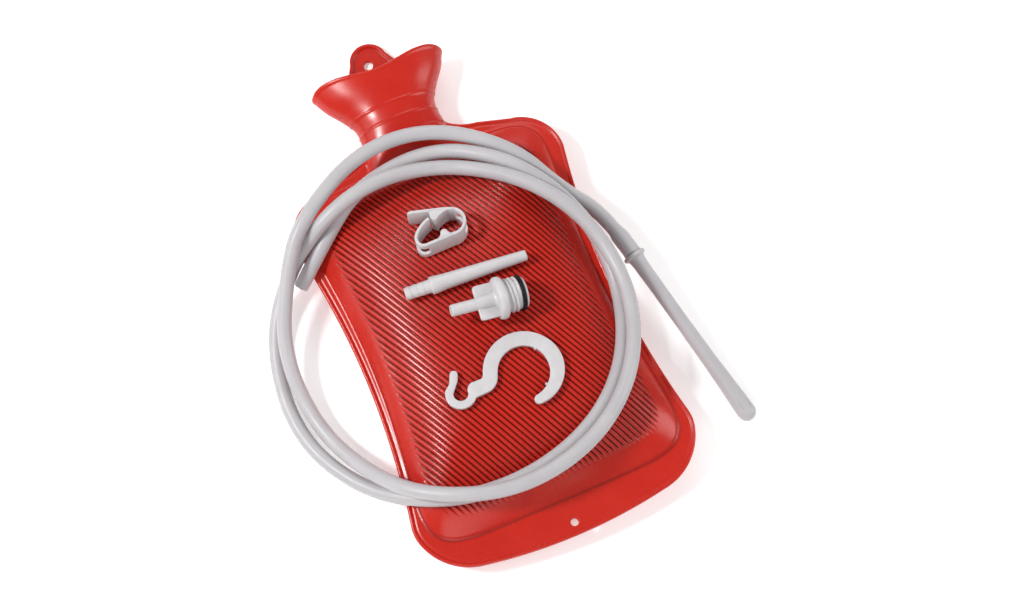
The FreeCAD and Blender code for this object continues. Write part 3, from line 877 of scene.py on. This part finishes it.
def add_hose(material, nozzle):
    """The hose as a tube with a real wall: outside, flare over the barb, cut ends and bore."""
    line = hose_line()
    axes = frames_along(line)
    count = 32
    runs = runs_along(line)
    rings = []
    for place, axis, run in zip(line, axes, runs):
        left = runs[-1] - run
        flare = float(smooth_step(np.array(-left), -21.0, -14.0))
        radius = HOSE_OD / 2 + (HOSE_FLARE_R - HOSE_OD / 2) * flare
        start_lip = 0.35 * max(0.0, 1 - run / 0.6)
        rings.append(tube_ring(place, axis, radius - start_lip, count))
    end_out = line[-1] + (line[-1] - line[-2]).normalized() * 0.2
    rings.append(tube_ring(end_out, axes[-1], HOSE_FLARE_R - 0.5, count))
    for place, axis, run in reversed(list(zip(line, axes, runs))):
        lip = 0.25 * max(0.0, 1 - run / 0.6)
        rings.append(tube_ring(place, axis, HOSE_ID / 2 + lip, count))
    points = [p for ring in rings for p in ring]
    faces = [f[::-1] for f in ring_faces(len(rings), count, closed=True)]
    piece = add_piece("hose", points, faces, material, "hose")


def add_long_nozzle(material):
    """Collar, slender shaft and a bulb with small flutes and a rounded end."""
    end = LONG_NOZZLE_LEN
    outside = [(2.9, -17.5), (3.15, -16.5), (3.15, 0.3), (COLLAR_R - 0.8, 0.3), (COLLAR_R, 1.1),
               (COLLAR_R, 2.7), (COLLAR_R - 0.8, 3.5), (6.0, 3.7), (5.6, 5.4), (5.2, 9.0), (4.9, 30.0),
               (4.9, 60.0), (5.2, 88.0), (5.8, 108.0), (6.3, 122.0)]
    cap = [(BULB_R * math.cos(math.radians(a)), end - BULB_R + BULB_R * math.sin(math.radians(a)))
           for a in range(0, 88, 8)]
    bore = [(1.4, end - 0.9), (1.3, end - 6), (2.0, end - 12), (2.0, -17.5)]
    profile = rounded(outside + cap + bore, 0.8)
    dense = []
    for (r0, z0), (r1, z1) in zip(profile, profile[1:] + profile[:1]):
        pieces = max(1, round(abs(z1 - z0) / 1.5)) if min(r0, r1) > 2.5 else 1
        dense += [(r0 + (r1 - r0) * k / pieces, z0 + (z1 - z0) * k / pieces) for k in range(pieces)]

    def flutes(angle, radius, height):
        if radius < 3.0:
            return radius
        length = math.exp(-((height - (end - 11)) / 5.0) ** 4)
        return radius - 0.7 * length * max(0.0, math.cos(FLUTES * angle)) ** 6

    points, faces = lathe(dense, 72, flutes)
    last, before = (Vector(p) for p in (HOSE_ROUTE[-1], HOSE_ROUTE[-2]))
    points = moved(points, along_axis(last, 2 * last - before))
    return add_piece("long_nozzle", points, faces, material, "long_nozzle", 50)


# ---- short nozzle and adaptor ----
def add_short_nozzle(material):
    end = SHORT_LEN
    profile = [(4.0, 0.0), (4.2, 0.6), (4.45, 3.3), (4.1, 3.9), (4.5, 8.0), (4.2, 8.6), (4.6, 12.5),
               (4.3, 13.1), (4.7, 17.6), (6.0, 17.6), (6.0, 20.5), (5.3, 28.0), (4.7, 50.0), (4.0, 72.0),
               (3.6, end - 0.8), (3.1, end), (2.3, end), (2.2, end - 1.5), (2.2, 2.0), (2.6, 0.0)]
    points, faces = lathe(rounded(profile, 0.5), 64)
    rest = LIE_Z + 6.0
    matrix = along_axis((*SHORT_NOZZLE_AT, rest), (*SHORT_NOZZLE_TO, rest - 0.6))
    add_piece("short_nozzle", moved(points, matrix), faces, material, "short_nozzle", 50)


def adaptor_heights():
    """Where the flange, thread, groove and nose start along the adaptor."""
    flange = SPIGOT_LEN + WING[1]
    thread = flange + ADAPTOR_FLANGE_LEN
    groove = thread + THREAD_TURNS * THREAD_PITCH + 0.6
    nose = groove + 2 * RING_R + 0.1
    return flange, thread, groove, nose


def adaptor_matrix():
    """It rests on its flange, and on its ring at the nose."""
    flange_z, thread_z, groove_z, _ = adaptor_heights()
    flange_at = (flange_z + thread_z) / 2
    length = math.dist(ADAPTOR_AT, ADAPTOR_TO)
    tilt = (ADAPTOR_FLANGE_R - RING_MID_R - RING_R) / (groove_z + RING_R - flange_at)
    start_z = LIE_Z + ADAPTOR_FLANGE_R + flange_at * tilt
    return along_axis((*ADAPTOR_AT, start_z), (*ADAPTOR_TO, start_z - length * tilt))


def thread_ridge(start, turns):
    """A round-topped helical ridge that runs out at both ends."""
    per_turn = 72
    steps = int(per_turn * turns)
    height = THREAD_R - THREAD_ROOT_R
    half = THREAD_PITCH * 0.40
    points, shape = [], [(-1.0, -0.3), (-0.62, 0.45), (-0.28, 0.95), (0.28, 0.95), (0.62, 0.45), (1.0, -0.3)]
    for i in range(steps + 1):
        angle = 2 * math.pi * i / per_turn
        grown = min(1.0, 8 * i / per_turn, 8 * (steps - i) / per_turn)
        z = start + THREAD_PITCH * i / per_turn
        for across, up in shape:
            r = THREAD_ROOT_R + height * (up * grown - 0.15 * (1 - grown))
            points.append((r * math.cos(angle), r * math.sin(angle), z + across * half))
    count = len(shape)
    faces = ring_faces(steps + 1, count)
    ends = [tuple(range(count))[::-1], tuple(steps * count + k for k in range(count))]
    return points, [f[::-1] for f in faces] + [e[::-1] for e in ends]


def adaptor_wing(z1):
    """The flat thumb wing beside the spigot, up to a height z1."""
    wide, _, thick = WING
    half, corner, dip = wide / 2, 2.2, 0.64
    z0 = SPIGOT_LEN
    loop = line_points((-half + corner, z0), (half - corner, z0), 1.5)
    loop += arc_points((half - corner, z0), (half - dip, z0 + dip), (half, z0 + corner), 0.5)
    loop += line_points((half, z0 + corner), (half, z1), 1.5)
    loop += line_points((half, z1), (-half, z1), 1.5)
    loop += line_points((-half, z1), (-half, z0 + corner), 1.5)
    loop += arc_points((-half, z0 + corner), (-half + dip, z0 + dip), (-half + corner, z0), 0.5)
    blade, blade_faces = slab([loop], [], level(thick / 2), level(-thick / 2), 0.7)
    return [(z, x, y) for x, y, z in blade], blade_faces


def add_adaptor(material, seal_material):
    flange_z, thread_z, groove_z, nose_z = adaptor_heights()
    end_z = nose_z + NOSE_LEN
    matrix = adaptor_matrix()
    r, root, seat, pipe = ADAPTOR_FLANGE_R, THREAD_ROOT_R, RING_MID_R - RING_R, SPIGOT_R
    profile = [(pipe - 0.5, 0.0), (pipe, 0.8), (pipe, SPIGOT_LEN - 1), (pipe + 0.7, SPIGOT_LEN + 3),
               (pipe + 1.2, flange_z - 1.5), (pipe + 2.2, flange_z), (r - 1.8, flange_z),
               (r - 0.5, flange_z + 1.1), (r, (flange_z + thread_z) / 2), (r - 0.5, thread_z - 1.1),
               (r - 1.8, thread_z), (root, thread_z), (root, groove_z), (seat, groove_z), (seat, nose_z),
               (NOSE_R + 0.8, nose_z), (NOSE_R + 0.8, nose_z + 0.7), (NOSE_R, end_z),
               (NOSE_R - 2.2, end_z), (NOSE_R - 2.2, end_z - 12), (2.6, end_z - 12), (2.6, 0.0)]
    turned = lathe(rounded(profile, 0.45), 96)
    wing = adaptor_wing(flange_z + 0.5)
    points, faces = joined(turned, wing, thread_ridge(thread_z + 1.3, THREAD_TURNS - 0.45))
    add_piece("adaptor", moved(points, matrix), faces, material, "adaptor", 50)
    ring = circle_points((RING_MID_R, groove_z + RING_R + 0.05), RING_R, 20)
    seal, seal_faces = lathe(ring, 96)
    add_piece("adaptor_seal_ring", moved(seal, matrix), seal_faces, seal_material, "adaptor")


# ---- hook ----
def hook_outline():
    """A large bow, an oblique link and a small hook, clockwise, then turned round."""
    big_out, big_in, small_out, small_in = 26.7, 17.0, 10.2, 4.9
    small, zero = (-40.8, -15.2), (0.0, 0.0)
    tip = math.radians(-62)
    tip_r, mid_r = 3.1, (big_out + big_in) / 2 - 0.6
    mid = (mid_r * math.cos(tip), mid_r * math.sin(tip))
    tip_out = (mid[0] + tip_r * math.cos(tip), mid[1] + tip_r * math.sin(tip))
    tip_in = (mid[0] - tip_r * math.cos(tip), mid[1] - tip_r * math.sin(tip))
    tip_end = (mid[0] + tip_r * math.sin(tip), mid[1] - tip_r * math.cos(tip))
    x, y, nib = -45.6, -2.6, 2.6
    big_start, big_end = polar(zero, big_out, 60), polar(zero, big_in, 60)
    loop = path_points(tip_out, [
        (polar((0.8, 1.0), big_out - 0.9, -10), big_start), (polar(zero, big_out, 120), (-big_out, 0)),
        ((-big_out, -3.6),), ((-27.4, -5.0), (-28.6, -5.7)), ((-34.2, -8.0),),
        ((-36.1, -10.4), polar(small, small_in, 5)),
        (polar(small, small_in, -85), polar(small, small_in, 180)),
        ((x + nib, y - 4.0),), ((x + nib, y),), ((x, y + nib), (x - nib, y)), ((x - 2.8, y - 6.5),),
        (polar(small, small_out, 170),), (polar(small, small_out, -110), polar(small, small_out, -15)),
        ((-22.4, -13.8),), ((-18.4, -9.6), (-big_in, -4.8)), ((-big_in, 0),),
        (polar(zero, big_in, 120), big_end), (polar((0.2, 0.4), big_in, -5), tip_in),
        (tip_end, tip_out)], 0.6)
    return anticlockwise(loop)


def add_hook(material):
    flat = slab([hook_outline()], [], level(HOOK_THICK), level(0.0), 0.55)
    nubs = []
    for degrees in (64, -30):
        x, y = polar((0, 0), 16.9, degrees)
        top = HOOK_THICK - 0.8
        profile = rounded([(0.05, 0.8), (0.75, 0.8), (0.75, top), (0.05, top)], 0.2)
        points, faces = lathe(profile, 16)
        nubs.append(([(px + x, py + y, pz) for px, py, pz in points], faces))
    points, faces = joined(flat, *nubs)
    matrix = Matrix.Translation((*HOOK_AT, LIE_Z)) @ Matrix.Rotation(math.radians(HOOK_TURN), 4, "Z")
    add_piece("s_hook", moved(points, matrix), faces, material, "s_hook", 40)


# ---- pinch clamp ----
def clamp_matrix():
    turn = Matrix.Rotation(math.radians(CLAMP_TURN), 4, "Z")
    tilt = Matrix.Rotation(math.radians(CLAMP_TILT), 4, "X")
    return Matrix.Translation((*CLAMP_AT, CLAMP_Z)) @ tilt @ turn


def strip_shape(line, slots=(), cup=0.0, round_start=0.0):
    """A strip on its edge along plan points, with rounded edges and long slots.

    A slot is (middle, half length, half height), measured along the strip and up it.  cup hollows
    the last end to that radius, round the next point of the line.  round_start rounds the corners
    of the first end."""
    line = [Vector(p) for p in line]
    runs = runs_along(line)
    normals = []
    for i in range(len(line)):
        along = line[min(i + 1, len(line) - 1)] - line[max(i - 1, 0)]
        normals.append(Vector((-along.y, along.x)).normalized())
    half, bevel, middle = STRIP / 2, EDGE_BEVEL, CLAMP_W / 2
    points, faces = [], []
    rows = [(-half, bevel), (-half + 0.13, 0.13), (-half + bevel, 0.0),
            (half - bevel, 0.0), (half - 0.13, 0.13), (half, bevel)]
    columns = []
    for place, normal, run in zip(line, normals, runs):
        gap = 0.0
        for at, length, height in slots:
            inside = 1 - abs((run - at) / length) ** 5
            gap = max(gap, height * inside ** (1 / 5) if inside > 0 else 0.0)
        short = max(0.0, round_start - run)
        cut = round_start - math.sqrt(round_start ** 2 - short ** 2)
        back = Vector((-normal.y, normal.x)) if cup and run == runs[-1] else Vector((0, 0))

        def spot(away):
            return place + normal * away + back * math.sqrt(max(cup ** 2 - away ** 2, 0))

        column = []
        for away, up in rows:
            p = spot(away)
            column.append((p.x, p.y, up + cut))
        for away, up in reversed(rows):
            p = spot(away)
            column.append((p.x, p.y, CLAMP_W - up - cut))
        for sign in (1, -1):
            for away in (-half, half):
                p = spot(away)
                column.append((p.x, p.y, middle + sign * gap))
        columns.append((len(points), gap))
        points.extend(column)
    per = 2 * len(rows)
    for (a, gap_a), (b, gap_b) in zip(columns, columns[1:]):
        for k in range(per):
            n = (k + 1) % per
            if k in (len(rows) - 1, per - 1):
                continue
            faces.append((a + k, a + n, b + n, b + k))
        hi_in, hi_out, lo_in, lo_out = per, per + 1, per + 2, per + 3
        side = len(rows) - 1
        pairs = [(side, lo_out), (hi_out, side + 1), (per - 1, hi_in), (lo_in, 0)]
        if gap_a or gap_b:
            pairs += [(lo_out, lo_in), (hi_in, hi_out)]
        faces += [(a + m, a + n, b + n, b + m) for m, n in pairs]
    for base, flip in ((columns[0][0], False), (columns[-1][0], True)):
        end = tuple(base + k for k in range(per))
        faces.append(end[::-1] if flip else end)
    return points, [f[::-1] for f in faces]


def bow_points(start, end, steps=60):
    return [polar(BOW, BOW_R, start + (end - start) * i / steps) for i in range(steps + 1)]


def smooth_line(points, steps=6):
    """A denser line through points, rounded at each of them."""
    out = [points[0]]
    for before, here, after in zip(points, points[1:], points[2:]):
        b, h, a = Vector(before), Vector(here), Vector(after)
        out += bend(h.lerp(b, 0.45), h, h.lerp(a, 0.45), steps)
    out.append(points[-1])
    return out


def prism(loop, bevel=0.4):
    return slab([loop], [], level(CLAMP_W), level(0.0), bevel)


def nearest_run(line, at):
    """How far along a line its nearest point to a place is."""
    runs = np.cumsum([0] + [math.dist(a, b) for a, b in zip(line, line[1:])])
    return float(runs[int(np.argmin([math.dist(p, at) for p in line]))])


def ejector_mark(x, y):
    """A small raised ring that the mould leaves on a face."""
    ring = [(1.25 + 0.16 * math.cos(a), CLAMP_W + 0.1 * math.sin(a))
            for a in (2 * math.pi * k / 8 for k in range(8))]
    points, faces = lathe(ring, 24)
    return [(px + x, py + y, pz) for px, py, pz in points], faces


def jaw_tooth():
    """The round tooth of the lower jaw, on a filleted foot."""
    x, y = TOOTH_AT
    r = TOOTH_R
    loop = arc_points((x - 5.8, y - 2.95), (x - 3.6, y - 1.75), (x - r, y + 0.3), 0.4)
    loop += arc_points((x - r, y + 0.3), (x, y + r), (x + r, y + 0.3), 0.4)
    loop += arc_points((x + r, y + 0.3), (x + 3.6, y - 1.4), (x + 5.8, y - 2.0), 0.4)
    loop += line_points((x + 5.8, y - 2.0), (x + 5.8, y - 3.0), 0.5)
    loop += line_points((x + 5.8, y - 3.0), (x - 5.8, y - 4.0), 0.8)
    loop += line_points((x - 5.8, y - 4.0), (x - 5.8, y - 2.95), 0.5)
    return prism(anticlockwise(loop))


def lever_web():
    """The solid web under the upper arm, with its blunt tooth and the bow's inner edge."""
    inner = BOW_R - STRIP / 2
    loop = [(11.8, 18.0), (11.7, 14.5), (11.6, 12.4), (11.9, 11.3), (13.3, 9.9), (14.2, 9.6), (15.2, 10.2)]
    loop += [polar(BOW, inner + 0.5, 133), polar(BOW, inner + 0.2, 126)]
    loop += [polar(BOW, inner, turn) for turn in range(120, 84, -4)]
    loop += [(22.2, 15.2), (17.6, 16.6)]
    return prism(anticlockwise(loop), 0.35)


def add_clamp(material):
    wall = smooth_line([(10.2, 12.2), (6.4, 10.5), (2.4, 7.6), (-0.9, 4.2), (-2.3, 1.2), (-2.0, -2.2),
                        (-0.4, -4.6), (2.0, -5.6), (6.0, -5.25)])
    start = polar(BOW, BOW_R, -96)
    jaw = wall + line_points((6.5, -5.2), start, 0.8) + bow_points(-96, HINGE_TURN - 9)
    jaw.append(polar(BOW, BOW_R, HINGE_TURN - 0.6))
    slots = [(nearest_run(jaw, (-1.0, -3.9)), 6.0, SLOT_HALF),
             (nearest_run(jaw, polar(BOW, BOW_R, 6)), 8.2, SLOT_HALF)]
    matrix = clamp_matrix()
    points, faces = joined(strip_shape(jaw, slots, cup=1.18), jaw_tooth(), ejector_mark(*TOOTH_AT))
    add_piece("clamp_frame", moved(points, matrix), faces, material, "clamp_frame", 40)
    hinge = polar(BOW, BOW_R, HINGE_TURN)
    arm = smooth_line([(-2.2, 21.2), (13.4, 17.5), (22.0, 15.6), hinge], 8)
    tip = line_points(arm[0], arm[1], 0.35)
    knuckle = prism(circle_points(hinge, STRIP / 2, 24), 0.2)
    points, faces = joined(strip_shape(tip + arm[1:], round_start=3.4), knuckle, lever_web(),
                           ejector_mark(14.0, 12.4))
    add_piece("clamp_lever", moved(points, matrix), faces, material, "clamp_lever", 40)


# ---- the whole scene ----
def dress_insert(material):
    """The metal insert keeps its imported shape."""
    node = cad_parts["neck_insert"]
    node.data.materials.clear()
    node.data.materials.append(material)


def add_floor():
    mesh = bpy.data.meshes.new("floor")
    corners = [(-1, -1), (1, -1), (1, 1), (-1, 1)]
    mesh.from_pydata([(x * FLOOR_HALF, y * FLOOR_HALF, FLOOR_Z) for x, y in corners], [], [(0, 1, 2, 3)])
    floor = bpy.data.objects.new("floor", mesh)
    bpy.context.collection.objects.link(floor)
    look = Look("floor_paper")
    shade = look.spread(look.noise(3, 2), 0, 1)
    look.set("Base Color", look.mix(shade, (0.94, 0.94, 0.94), (0.955, 0.955, 0.955)))
    look.set("Roughness", 0.9)
    look.set("Emission Color", (1, 1, 1, 1))
    look.set("Emission Strength", FLOOR_GLOW)
    mesh.materials.append(look.material)


make_camera()
hose_material = white_hose()
plastic = white_plastic()
rubber = red_rubber()
add_hose(hose_material, add_long_nozzle(hose_material))
add_walls(rubber)
add_funnel(rubber)
add_tab(rubber)
dress_insert(brass_insert())
add_short_nozzle(plastic)
add_adaptor(plastic, black_seal())
add_hook(plastic)
add_clamp(plastic)
add_floor()
make_studio()
